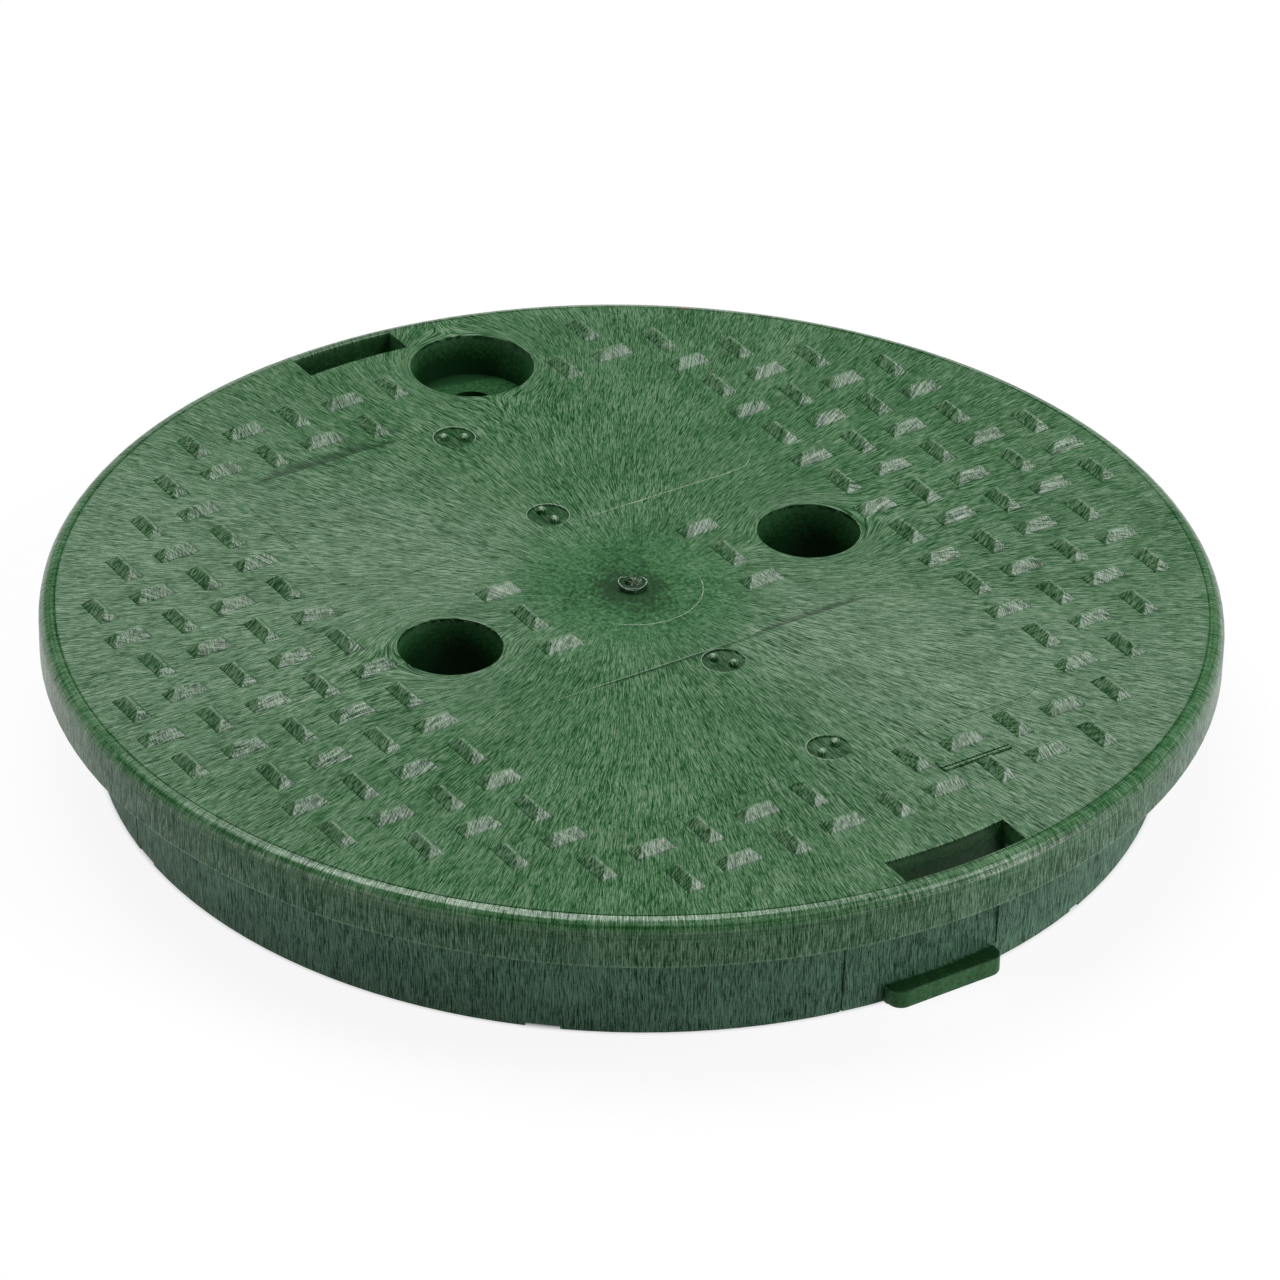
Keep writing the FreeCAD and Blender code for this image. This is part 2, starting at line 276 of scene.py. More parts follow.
def arithmetic(tree, operation, *values):
    """The result of one arithmetic step."""
    made = add_node(tree, "ShaderNodeMath", dict(enumerate(values)), operation=operation)
    return made.outputs[0]


def product(tree, first, second):
    """Two values multiplied."""
    return arithmetic(tree, "MULTIPLY", first, second)


def larger(tree, first, second):
    """The larger of two values."""
    return arithmetic(tree, "MAXIMUM", first, second)


def plus_share(tree, base, value, weight):
    """A base value with another one added by its weight."""
    return arithmetic(tree, "MULTIPLY_ADD", value, weight, base)


def ramp_between(tree, value, start, end, low=0.0, high=1.0):
    """A smooth change from one level to another as a value goes from start to end."""
    inputs = {"Value": value, "From Min": start, "From Max": end, "To Min": low, "To Max": high}
    made = add_node(tree, "ShaderNodeMapRange", inputs, interpolation_type="SMOOTHSTEP")
    return made.outputs["Result"]


def blend_of(tree, share, first, second):
    """A value that goes from a first one to a second as a share grows from 0 to 1."""
    made = add_node(tree, "ShaderNodeMix", {"Factor": share, 2: first, 3: second}, data_type="FLOAT")
    return made.outputs[0]


def mixed_colour(tree, share, first, second):
    """A colour that goes from a first one to a second as a share grows from 0 to 1."""
    made = add_node(tree, "ShaderNodeMix", {"Factor": share, 6: first, 7: second}, data_type="RGBA")
    return made.outputs[2]


def colour_scale(tree, tone, stops):
    """The colour of a tone, from colours that stand along a scale."""
    made = add_node(tree, "ShaderNodeValToRGB", {"Fac": tone})
    scale = made.color_ramp.elements
    scale[0].position, scale[0].color = stops[0]
    scale[1].position, scale[1].color = stops[-1]
    for position, colour in stops[1:-1]:
        stop = scale.new(position)
        stop.color = colour
    return made.outputs["Color"]


def cloud(tree, place, size, detail):
    """Soft noise of one size in millimetres, from -0.5 to 0.5."""
    inputs = {"Vector": place, "Scale": 1 / size, "Detail": detail, "Roughness": NOISE_ROUGHNESS}
    made = add_node(tree, "ShaderNodeTexNoise", inputs, noise_dimensions="3D")
    return arithmetic(tree, "SUBTRACT", made.outputs["Fac"], 0.5)


def add_bump(tree, shader, height):
    """Let a fine relief show in the way that the surface takes the light."""
    bump = add_node(tree, "ShaderNodeBump", {"Height": height, "Distance": BUMP_DEPTH, "Strength": 1.0})
    tree.links.new(bump.outputs["Normal"], shader.inputs["Normal"])


def place_in_millimetres(tree):
    """Where a point lies in the cover's frame, in millimetres."""
    inputs = {0: add_node(tree, "ShaderNodeTexCoord", {}).outputs["Object"], "Scale": 1 / MM}
    return add_node(tree, "ShaderNodeVectorMath", inputs, operation="SCALE").outputs[0]


def spot_on_cover(tree):
    """A point's place, its distance from the axis and the way that the surface faces there."""
    place = place_in_millimetres(tree)
    inputs = {0: place, 1: (1, 1, 0)}
    flat_place = add_node(tree, "ShaderNodeVectorMath", inputs, operation="MULTIPLY").outputs[0]
    x, y, z = add_node(tree, "ShaderNodeSeparateXYZ", {"Vector": place}).outputs
    normal = add_node(tree, "ShaderNodeTexCoord", {}).outputs["Normal"]
    facing = add_node(tree, "ShaderNodeSeparateXYZ", {"Vector": normal})
    off_axis = add_node(tree, "ShaderNodeVectorMath", {0: flat_place}, operation="LENGTH").outputs["Value"]
    return SimpleNamespace(
        place=place, flat_place=flat_place, x=x, y=y, z=z, off_axis=off_axis,
        radius=larger(tree, off_axis, STREAK_BASE_RADIUS),
        facing_x=facing.outputs["X"], facing_up=facing.outputs["Z"])


# Start and end of each zone's edge: heights and distances from the axis in millimetres, slopes by facing
PLATE_LEVEL = (33.6, 34.3)
SKIRT_LEVEL = (24.4, 24.0)
SKIRT_REACH = (112.0, 114.0)
RIM_REACH = (122.8, 123.6)
RIM_TOP_LEVEL = (29.5, 31.5)
TAB_LEVEL = (5.3, 4.9)
TAB_REACH = (115.6, 116.2)
TAB_SHARE = 0.85
LUG_LEVEL = (34.72, 34.95)
LUG_SLOPE = (0.95, 0.85)
STREAK_REACH = (8.0, 36.0)


def zones_of_cover(tree, spot):
    """How far a point belongs to each zone of the cover, from 0 to 1."""
    plate = ramp_between(tree, spot.z, *PLATE_LEVEL)
    below_rim = ramp_between(tree, spot.z, *SKIRT_LEVEL)
    skirt = product(tree, ramp_between(tree, spot.radius, *SKIRT_REACH), below_rim)
    rim = ramp_between(tree, spot.radius, *RIM_REACH)
    tab = product(tree, ramp_between(tree, spot.z, *TAB_LEVEL), ramp_between(tree, spot.radius, *TAB_REACH))
    outside = arithmetic(tree, "SUBTRACT", larger(tree, skirt, rim), product(tree, tab, TAB_SHARE))
    open_face = larger(tree, plate, outside)
    sloping = ramp_between(tree, spot.facing_up, *LUG_SLOPE)
    return SimpleNamespace(
        plate=plate, skirt=skirt, rim=rim, tab=tab, sloping=sloping,
        streaky=product(tree, open_face, ramp_between(tree, spot.radius, *STREAK_REACH)),
        plain=arithmetic(tree, "SUBTRACT", 1.0, open_face),
        lug=product(tree, ramp_between(tree, spot.z, *LUG_LEVEL), sloping),
        rim_top=product(tree, rim, ramp_between(tree, spot.z, *RIM_TOP_LEVEL)))


def flow_from_gate(tree, spot):
    """Direction in which the melt ran past a point, in radians, bent round each hole's core."""
    direction = arithmetic(tree, "ARCTAN2", spot.y, spot.x)
    cores = [(bolt_x, bolt_y, BOLT_SEAT_TOP_RADIUS)] + holes[1:]
    for core_x, core_y, core_radius in cores:
        core_angle = atan2(core_y, core_x)
        core_distance = hypot(core_x, core_y) / MM
        inputs = {0: spot.flat_place, 1: (-sin(core_angle), cos(core_angle), 0)}
        across = add_node(tree, "ShaderNodeVectorMath", inputs, operation="DOT_PRODUCT")
        inputs = {0: spot.flat_place, 1: (core_x / MM, core_y / MM, 0)}
        away = add_node(tree, "ShaderNodeVectorMath", inputs, operation="DISTANCE")
        spread = arithmetic(tree, "POWER", away.outputs["Value"], 2.0)
        push = -(core_radius / MM) ** 2 / core_distance
        bend = product(tree, arithmetic(tree, "DIVIDE", across.outputs["Value"], spread), push)
        direction = arithmetic(tree, "ADD", direction, bend)
    return direction


def streaks(tree, direction, radius, run, width, length, start, detail):
    """Streaks of one width and length along the flow, from about -0.5 to 0.5.

    Two noises, one twice as fine as the other, are faded into each other as the radius grows, so that the
    streaks keep one width all the way out.
    """
    octave = arithmetic(tree, "LOGARITHM", arithmetic(tree, "DIVIDE", radius, STREAK_BASE_RADIUS), 2.0)
    fade = arithmetic(tree, "FRACT", octave)
    doublings = arithmetic(tree, "POWER", 2.0, arithmetic(tree, "FLOOR", octave))
    coarse = product(tree, doublings, STREAK_BASE_RADIUS / width)
    along = arithmetic(tree, "ADD", arithmetic(tree, "DIVIDE", run, length), start)
    layers = []
    for cells in (coarse, product(tree, coarse, 2.0)):
        across_x = product(tree, arithmetic(tree, "COSINE", direction), cells)
        across_y = product(tree, arithmetic(tree, "SINE", direction), cells)
        place = add_node(tree, "ShaderNodeCombineXYZ", {"X": across_x, "Y": across_y, "Z": along})
        layers.append(cloud(tree, place.outputs[0], 1.0, detail))
    rest = arithmetic(tree, "SUBTRACT", 1.0, fade)
    mixed = arithmetic(tree, "ADD", product(tree, layers[0], rest), product(tree, layers[1], fade))
    squares = arithmetic(tree, "ADD", product(tree, fade, fade), product(tree, rest, rest))
    return arithmetic(tree, "DIVIDE", mixed, arithmetic(tree, "SQRT", squares))


# Each kind of streak by its width and length in millimetres, its start in the noise and the noise's detail
FINE_STREAKS = (0.15, 2.2, 0.0, 2.0)
LONG_STREAKS = (0.24, 5.0, 40.0, 1.0)
BROAD_STREAKS = (2.2, 36.0, 80.0, 0.0)
WANDER_SIZE = 9.0
WANDER_WIDTH = 1.2


def flow_marks(tree, spot):
    """Which way the melt ran past a point, how far it had run, and the streaks that it left."""
    run = arithmetic(tree, "SUBTRACT", spot.radius, spot.z)
    sway = product(tree, cloud(tree, spot.place, WANDER_SIZE, 0.0), WANDER_WIDTH)
    wander = arithmetic(tree, "DIVIDE", sway, spot.radius)
    direction = arithmetic(tree, "ADD", flow_from_gate(tree, spot), wander)
    return SimpleNamespace(
        direction=direction, run=run,
        fine=streaks(tree, direction, spot.radius, run, *FINE_STREAKS),
        long=streaks(tree, direction, spot.radius, run, *LONG_STREAKS),
        broad=streaks(tree, direction, spot.radius, run, *BROAD_STREAKS))


MOTTLE_SIZE = 0.8
MOTTLE_WEIGHT = 0.50
STREAK_SHARE = 0.78
SCRATCH_STRETCHES = ((3.4, 0.9, 0.9), (0.7, 4.5, 0.7))
SCRATCH_WEIGHT = 1.05
FACING_SIDEWAYS = (0.35, 0.55)
PLAIN_GRAIN = 0.45
RIM_TOP_GRAIN = 0.5


def grain_of_plastic(tree, spot, zones, flow, mottle):
    """Fine grain: streaks on the outside, mottle round the gate and scratches along the lugs' slopes."""
    grain = blend_of(tree, product(tree, zones.streaky, STREAK_SHARE), mottle, flow.fine)
    scratches = []
    for stretch in SCRATCH_STRETCHES:
        inputs = {0: spot.place, 1: stretch}
        scratch_place = add_node(tree, "ShaderNodeVectorMath", inputs, operation="MULTIPLY")
        scratches.append(cloud(tree, scratch_place.outputs[0], 1.0, 1.0))
    sideways = ramp_between(tree, arithmetic(tree, "ABSOLUTE", spot.facing_x), *FACING_SIDEWAYS)
    lug_grain = product(tree, blend_of(tree, sideways, scratches[0], scratches[1]), SCRATCH_WEIGHT)
    grain = blend_of(tree, zones.lug, grain, lug_grain)
    grain = product(tree, grain, blend_of(tree, zones.plain, 1.0, PLAIN_GRAIN))
    return product(tree, grain, blend_of(tree, zones.rim_top, 1.0, RIM_TOP_GRAIN))


TURNED_PER_RADIAN = 2.5
TURNED_PER_MM = 1.3


def turned_lines(tree, zones, flow):
    """Fine lines round the top of the rim, as the turned mould left them."""
    around = product(tree, flow.direction, TURNED_PER_RADIAN)
    outward = product(tree, flow.run, TURNED_PER_MM)
    place = add_node(tree, "ShaderNodeCombineXYZ", {"X": around, "Y": outward})
    return product(tree, cloud(tree, place.outputs[0], 1.0, 2.0), zones.rim_top)


BASE_TONE = 0.48
GRAIN_TONE = 3.8
GRIT_SIZE = 0.22
GRIT_TONE = 1.2
LONG_STREAK_TONE = 1.65
BROAD_STREAK_TONE = 0.19
TURNED_TONE = 1.1
PATCH_SIZE = 13.0
PATCH_TONE = 0.40


def tone_of_streaks(tree, spot, zones, flow, grain, turned):
    """How pale grain, grit, streaks, turned lines and wide patches make a point."""
    tone = plus_share(tree, BASE_TONE, grain, GRAIN_TONE)
    grit = product(tree, cloud(tree, spot.place, GRIT_SIZE, 2.0), zones.streaky)
    tone = plus_share(tree, tone, grit, GRIT_TONE)
    tone = plus_share(tree, tone, product(tree, flow.long, zones.streaky), LONG_STREAK_TONE)
    tone = plus_share(tree, tone, flow.broad, BROAD_STREAK_TONE)
    tone = plus_share(tree, tone, turned, TURNED_TONE)
    return plus_share(tree, tone, cloud(tree, spot.place, PATCH_SIZE, 1.0), PATCH_TONE)


# Painted shade at the foot of the lugs' slopes and a painted highlight on their crests
LUG_FOOT_START = (34.72, 34.76)
LUG_FOOT_END = (35.15, 34.8)
LUG_FOOT_PAINTED_SHADE = -0.25
LUG_CREST_LEVEL = (36.35, 36.65)
LUG_CREST_REACH = (4.0, 5.0)
LUG_CREST_PAINTED_HIGHLIGHT = 0.25


def painted_light_on_lugs(tree, spot, zones, tone):
    """The tone with painted shade at the foot of each lug's slopes and a painted highlight along its crest.
    """
    lug_foot_shade = ramp_between(tree, spot.z, *LUG_FOOT_START)
    lug_foot_shade = product(tree, lug_foot_shade, ramp_between(tree, spot.z, *LUG_FOOT_END))
    tone = plus_share(tree, tone, product(tree, zones.sloping, lug_foot_shade), LUG_FOOT_PAINTED_SHADE)
    lug_crest_highlight = ramp_between(tree, spot.z, *LUG_CREST_LEVEL)
    lug_crest_highlight = product(tree, lug_crest_highlight, ramp_between(tree, spot.radius, *LUG_CREST_REACH))
    return plus_share(tree, tone, lug_crest_highlight, LUG_CREST_PAINTED_HIGHLIGHT)


# Painted shade in the plate's recesses and in the gate's hollow
RECESS_REACH = (121.0, 123.0)
RECESS_LEVEL = (34.40, 34.60)
RECESS_PAINTED_SHADE = -0.42
HALO_SIZE = 4.0
HALO_RAGGED = 9.0
HALO_REACH = (3.0, 20.0)
HALO_TONE = -0.24
INNER_HALO_REACH = (3.0, 9.0)
INNER_HALO_TONE = -0.26
GATE_HOLLOW_REACH = (2.75, 2.45)
GATE_HOLLOW_PAINTED_SHADE = -0.60


def tone_round_gate(tree, spot, zones, tone):
    """The tone with painted shade in the plate's recesses and in the gate's hollow, and a ragged darker halo
    round the gate.
    """
    recess_shade = product(tree, zones.plate, ramp_between(tree, spot.radius, *RECESS_REACH, 1.0, 0.0))
    tone = plus_share(tree, tone, recess_shade, ramp_between(tree, spot.z, *RECESS_LEVEL, RECESS_PAINTED_SHADE, 0.0))
    halo_edge = plus_share(tree, spot.radius, cloud(tree, spot.place, HALO_SIZE, 2.0), HALO_RAGGED)
    halo = ramp_between(tree, halo_edge, *HALO_REACH, HALO_TONE, 0.0)
    tone = arithmetic(tree, "ADD", tone, halo)
    inner_halo = ramp_between(tree, halo_edge, *INNER_HALO_REACH, INNER_HALO_TONE, 0.0)
    tone = arithmetic(tree, "ADD", tone, inner_halo)
    hollow_shade = ramp_between(tree, spot.off_axis, *GATE_HOLLOW_REACH, 0.0, GATE_HOLLOW_PAINTED_SHADE)
    return arithmetic(tree, "ADD", tone, hollow_shade)


# Start and end along a panel's edge, the edge, the reach from it and the depth of each dark lens
EDGE_SHADES = (
    (8.0, 45.0, -29.5, 2.4, 0.75),
    (-51.0, -7.0, 79.1, 5.0, 0.65),
    (-36.0, 22.0, -29.8, -1.1, 0.60),
    (-53.0, -29.0, -29.5, 0.8, 0.50),
)
EDGE_SHADE_STEP = 0.05
EDGE_SHADE_FADE = (0.2, 1.0)
EDGE_SHADE_ENDS = (0.0, 0.4)
EDGE_SHADE_RAGGED = 0.9


def edge_shade(tree, spot, rough_y, start, end, edge, reach):
    """Share of a dark lens along a panel's edge, sharp at the edge and fading out across its reach."""
    third = (end - start) / 3
    swell = ramp_between(tree, spot.x, start, start + third)
    swell = product(tree, swell, ramp_between(tree, spot.x, end, end - third))
    from_edge = arithmetic(tree, "SUBTRACT", rough_y, edge)
    distance = arithmetic(tree, "DIVIDE", from_edge, product(tree, swell, reach))
    step = EDGE_SHADE_STEP if reach > 0 else -EDGE_SHADE_STEP
    past_edge = ramp_between(tree, spot.y, edge - step, edge + step)
    beside = product(tree, ramp_between(tree, distance, *EDGE_SHADE_FADE, 1.0, 0.0), past_edge)
    return product(tree, beside, ramp_between(tree, swell, *EDGE_SHADE_ENDS))


def tone_by_panels(tree, spot, zones, flow, tone):
    """The tone with dark lenses along the edges of the panels."""
    rough_y = plus_share(tree, spot.y, flow.fine, EDGE_SHADE_RAGGED)
    for start, end, edge, reach, depth in EDGE_SHADES:
        shade = edge_shade(tree, spot, rough_y, start, end, edge, reach)
        tone = plus_share(tree, tone, product(tree, shade, zones.plate), -depth)
    return tone


# A painted highlight along the rim's lower edge
RIM_FOOT_START = (24.0, 24.2)
RIM_FOOT_END = (25.0, 24.5)
RIM_FOOT_REACH = (125.3, 126.0)
RIM_FOOT_PAINTED_HIGHLIGHT = 0.35
FACING_UP = (0.3, 0.8)
# Painted shadow of the rim's overhang on the tabs' tops, with a little on their sides
TAB_SIDE_SHARE = 0.15
TAB_TOP_PAINTED_SHADOW = -0.38
# Painted shade inside holes and slots, deeper further down and stronger in the slots
HOLE_FOOT_LEVEL = (6.0, 8.0)
HOLE_LEVEL = (18.0, 33.5)
HOLE_LOW_PAINTED_SHADE = -0.75
HOLE_HIGH_PAINTED_SHADE = -0.12
HOLE_FLOOR_SHARE = 0.6
SLOT_REACH = (110.0, 113.0)
SLOT_SHARE = 1.7


def painted_light_below_plate(tree, spot, zones, tone):
    """The tone with a painted highlight on the rim's foot, painted shadow on the tabs' tops and painted
    shade inside holes and slots.
    """
    rim_foot_highlight = ramp_between(tree, spot.z, *RIM_FOOT_END)
    rim_foot_highlight = product(tree, rim_foot_highlight, ramp_between(tree, spot.z, *RIM_FOOT_START))
    rim_foot_highlight = product(tree, rim_foot_highlight, ramp_between(tree, spot.radius, *RIM_FOOT_REACH))
    tone = plus_share(tree, tone, rim_foot_highlight, RIM_FOOT_PAINTED_HIGHLIGHT)
    tab_top_shadow = product(tree, zones.tab, ramp_between(tree, spot.facing_up, *FACING_UP, TAB_SIDE_SHARE, 1.0))
    tone = plus_share(tree, tone, tab_top_shadow, TAB_TOP_PAINTED_SHADOW)
    hole_shade_share = product(tree, zones.plain, ramp_between(tree, spot.z, *HOLE_FOOT_LEVEL))
    hole_shade_share = product(tree, hole_shade_share, ramp_between(tree, spot.radius, *SLOT_REACH, 1.0, SLOT_SHARE))
    hole_shade_share = product(tree, hole_shade_share, ramp_between(tree, spot.facing_up, *FACING_UP, 1.0, HOLE_FLOOR_SHARE))
    depth = ramp_between(tree, spot.z, *HOLE_LEVEL, HOLE_LOW_PAINTED_SHADE, HOLE_HIGH_PAINTED_SHADE)
    return plus_share(tree, tone, hole_shade_share, depth)


GREEN_STOPS = (
    (0.08, DEEP_GREEN),
    (0.30, LEAF_GREEN),
    (0.50, MID_GREEN),
    (0.72, PALE_GREEN),
    (0.98, SILVER_GREEN),
)
BAND_LEVEL = (33.0, 30.5)
BAND_REFLECTION_SHARE = 0.4
STAIN_PLACE = (78, 98, 34)
STAIN_RAGGED = 3.0
STAIN_REACH = (0.5, 3.2)
STAIN_SHARE = 0.6


def colour_of_plastic(tree, spot, zones, mottle, tone):
    """Green by its tone, greyer and bluer on the skirt and the rim's band as a painted reflection of the
    pale floor, with one brown stain.
    """
    plate_colour = colour_scale(tree, tone, GREEN_STOPS)
    skirt_colour = mixed_colour(tree, tone, SKIRT_DARK, SKIRT_LIGHT)
    band = product(tree, zones.rim, ramp_between(tree, spot.z, *BAND_LEVEL, 0.0, BAND_REFLECTION_SHARE))
    greyed_by_reflection = arithmetic(tree, "SUBTRACT", larger(tree, zones.skirt, band), zones.tab)
    colour = mixed_colour(tree, greyed_by_reflection, plate_colour, skirt_colour)
    inputs = {0: spot.place, 1: STAIN_PLACE}
    from_stain = add_node(tree, "ShaderNodeVectorMath", inputs, operation="DISTANCE").outputs["Value"]
    stain_edge = plus_share(tree, from_stain, mottle, STAIN_RAGGED)
    stained = ramp_between(tree, stain_edge, *STAIN_REACH, STAIN_SHARE, 0.0)
    return mixed_colour(tree, stained, colour, STAIN_BROWN)


BRUSHED_REACH = (14.0, 44.0)
GATE_ROUGHNESS = 0.31
PLATE_ROUGHNESS = 0.45
LUG_ROUGHNESS = 0.31
RIM_ROUGHNESS = 0.26
GRAIN_ROUGHNESS = 0.2
BRUSHED = 0.82
RIM_BRUSHED = 0.35
LONG_GLINT = 0.6
GLINT = 4.5
LEAST_GLINT = 0.1
GLOSS_LEVEL = (31.0, 33.2)
SIDE_GLOSS = 0.18
PLATE_GLOSS = 0.5


def add_sheen(tree, shader, spot, zones, flow, grain):
    """Give the plastic its satin sheen, drawn out by the streaks as on a brushed surface."""
    finish = ramp_between(tree, spot.radius, *BRUSHED_REACH, GATE_ROUGHNESS, PLATE_ROUGHNESS)
    finish = blend_of(tree, zones.rim, blend_of(tree, zones.lug, finish, LUG_ROUGHNESS), RIM_ROUGHNESS)
    roughness = plus_share(tree, finish, grain, GRAIN_ROUGHNESS)
    tree.links.new(roughness, shader.inputs["Roughness"])
    across_x = product(tree, arithmetic(tree, "SINE", flow.direction), -1.0)
    across_y = arithmetic(tree, "COSINE", flow.direction)
    across_flow = add_node(tree, "ShaderNodeCombineXYZ", {"X": across_x, "Y": across_y})
    across_flow = add_node(
        tree, "ShaderNodeVectorTransform", {"Vector": across_flow.outputs[0]}, vector_type="VECTOR",
        convert_from="OBJECT", convert_to="WORLD")
    tree.links.new(across_flow.outputs[0], shader.inputs["Tangent"])
    brushed = product(tree, zones.streaky, ramp_between(tree, spot.radius, *BRUSHED_REACH, 0.0, BRUSHED))
    brushed = product(tree, brushed, arithmetic(tree, "SUBTRACT", 1.0, zones.lug))
    brushed = product(tree, brushed, blend_of(tree, zones.rim, 1.0, RIM_BRUSHED))
    tree.links.new(brushed, shader.inputs["Anisotropic"])
    glint = product(tree, plus_share(tree, flow.fine, flow.long, LONG_GLINT), zones.streaky)
    glint = larger(tree, plus_share(tree, 1.0, glint, GLINT), LEAST_GLINT)
    gloss = product(tree, ramp_between(tree, spot.z, *GLOSS_LEVEL, SIDE_GLOSS, PLATE_GLOSS), glint)
    tree.links.new(gloss, shader.inputs["Specular IOR Level"])


GRAIN_HEIGHT = 1.2
TURNED_HEIGHT = 2.0


def streaked_green_plastic():
    """Satin green plastic with pale flow streaks, darker round the gate, with painted shade, shadow and
    highlights, and greyer on the skirt as a painted reflection of the floor.
    """
    material, tree, shader = start_material("streaked_green_plastic")
    spot = spot_on_cover(tree)
    zones = zones_of_cover(tree, spot)
    flow = flow_marks(tree, spot)
    mottle = product(tree, cloud(tree, spot.place, MOTTLE_SIZE, 3.0), MOTTLE_WEIGHT)
    grain = grain_of_plastic(tree, spot, zones, flow, mottle)
    turned = turned_lines(tree, zones, flow)
    tone = tone_of_streaks(tree, spot, zones, flow, grain, turned)
    tone = painted_light_on_lugs(tree, spot, zones, tone)
    tone = tone_round_gate(tree, spot, zones, tone)
    tone = tone_by_panels(tree, spot, zones, flow, tone)
    tone = painted_light_below_plate(tree, spot, zones, tone)
    colour = colour_of_plastic(tree, spot, zones, mottle, tone)
    tree.links.new(colour, shader.inputs["Base Color"])
    add_sheen(tree, shader, spot, zones, flow, grain)
    add_bump(tree, shader, plus_share(tree, product(tree, grain, GRAIN_HEIGHT), turned, TURNED_HEIGHT))
    return material


plastic = streaked_green_plastic()
cover_mesh.materials.append(plastic)

# Screw marks
# Two screws hold each panel's plate in the mould. Their heads leave shallow round recesses, and the two
# sockets in each head leave a pair of small studs, moulded with the cover, on the floor of the recess.
# Their whitish tops are a painted highlight, and so is the whitish raised arc round part of each recess.
RECESS_DEPTH = 0.45 * MM
RECESS_FLOOR = PANEL_TOP - RECESS_DEPTH
STUD_RADIUS = 1.08 * MM
STUD_HEIGHT = 1.2 * MM
STUD_SPACING = 4.7 * MM
STUD_ROOT = 0.1 * MM
STUD_ROOT_SHARE = 0.9
STUD_SIDES = 20
STUD_OUTLINE = ((1.0, 0.0), (1.0, 0.62), (0.93, 0.82), (0.75, 0.95), (0.42, 1.0))
SCREW_TURNS = (-60, 22, -84, -32)
RIDGE_WIDTH = 0.18 * MM
RIDGE_HEIGHT = 0.045 * MM
RIDGE_OUTLINE = ((0.5, -0.5), (0.5, 0.0), (0.25, 0.8), (0.0, 1.0), (-0.25, 0.8), (-0.5, 0.0), (-0.5, -0.5))
RIDGE_END_SHARE = 0.1
RIDGE_END_GROWTH = 6
ARC_STEPS = 96
FRONT_OUTLINE_ARC = (60, 265)
BACK_OUTLINE_ARC = (-70, 210)
WHITENED_AND_HIGHLIGHT_GREEN = (0.46, 0.56, 0.46, 1)
WHITENED_AND_HIGHLIGHT_STOPS = ((0.15, MID_GREEN), (0.5, SILVER_GREEN), (0.85, WHITENED_AND_HIGHLIGHT_GREEN))
WHITENED_AND_HIGHLIGHT_TONE = 0.6
WHITENED_ROUGHNESS = 0.5
FLECK_SIZE = 0.4
FLECK_TONE = 2.2
FLECK_ROUGHNESS = 0.3


def whitened_plastic_and_highlight():
    """The cover's plastic where it was drawn thin or scraped, whitish with green flecks; on the studs' tops,
    the recess outlines and the panel flash the same colour is a painted highlight.
    """
    material, tree, shader = start_material("whitened_plastic_and_highlight")
    flecks = cloud(tree, place_in_millimetres(tree), FLECK_SIZE, 3.0)
    colour = colour_scale(tree, plus_share(tree, WHITENED_AND_HIGHLIGHT_TONE, flecks, FLECK_TONE), WHITENED_AND_HIGHLIGHT_STOPS)
    tree.links.new(colour, shader.inputs["Base Color"])
    roughness = plus_share(tree, WHITENED_ROUGHNESS, flecks, FLECK_ROUGHNESS)
    tree.links.new(roughness, shader.inputs["Roughness"])
    add_bump(tree, shader, flecks)
    return material


whitening_and_highlight = whitened_plastic_and_highlight()


def add_turned(mesh, outline, sides, x, y):
    """Add the wall of a turned shape to a mesh, as rings of points from an outline of radii and heights."""
    rings = []
    for radius, height in outline:
        ring = []
        for side in range(sides):
            angle = 2 * pi * side / sides
            ring.append(mesh.verts.new((x + radius * cos(angle), y + radius * sin(angle), height)))
        rings.append(ring)
    for lower, upper in zip(rings, rings[1:]):
        for side in range(sides):
            following = (side + 1) % sides
            mesh.faces.new((lower[side], lower[following], upper[following], upper[side]))
    return rings


def moulded_piece(name, mesh, *finishes):
    """Make a piece of the cover's own moulding that rides with it."""
    bmesh.ops.recalc_face_normals(mesh, faces=mesh.faces)
    for face in mesh.faces:
        face.smooth = True
    data = bpy.data.meshes.new(name)
    mesh.to_mesh(data)
    mesh.free()
    data.set_sharp_from_angle(angle=SMOOTH_ANGLE)
    for finish in finishes:
        data.materials.append(finish)
    piece = bpy.data.objects.new(name, data)
    bpy.context.scene.collection.objects.link(piece)
    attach(piece, "root")
    return piece


studs = bmesh.new()
stud_outline = [(STUD_ROOT_SHARE * STUD_RADIUS, RECESS_FLOOR - STUD_ROOT)]
for share_out, share_up in STUD_OUTLINE:
    stud_outline.append((share_out * STUD_RADIUS, RECESS_FLOOR + share_up * STUD_HEIGHT))
for (mark_x, mark_y), turn in zip(SCREW_MARK_PLACES, SCREW_TURNS):
    for side in (-0.5, 0.5):
        stud_x = mark_x + side * STUD_SPACING * cos(radians(turn))
        stud_y = mark_y + side * STUD_SPACING * sin(radians(turn))
        stud_rings = add_turned(studs, stud_outline, STUD_SIDES, stud_x, stud_y)
        # The top cap of each stud is a painted highlight in the whitish plastic
        highlit_stud_top = studs.faces.new(stud_rings[-1])
        highlit_stud_top.material_index = 1
        studs.faces.new(reversed(stud_rings[0]))
moulded_piece("screw_mark_studs", studs, plastic, whitening_and_highlight)


def arc_points(x, y, radius, height, start, end, count):
    """Points along a level arc between two angles in degrees."""
    points = []
    for number in range(count):
        angle = radians(start + (end - start) * number / (count - 1))
        points.append(Vector((x + radius * cos(angle), y + radius * sin(angle), height)))
    return points


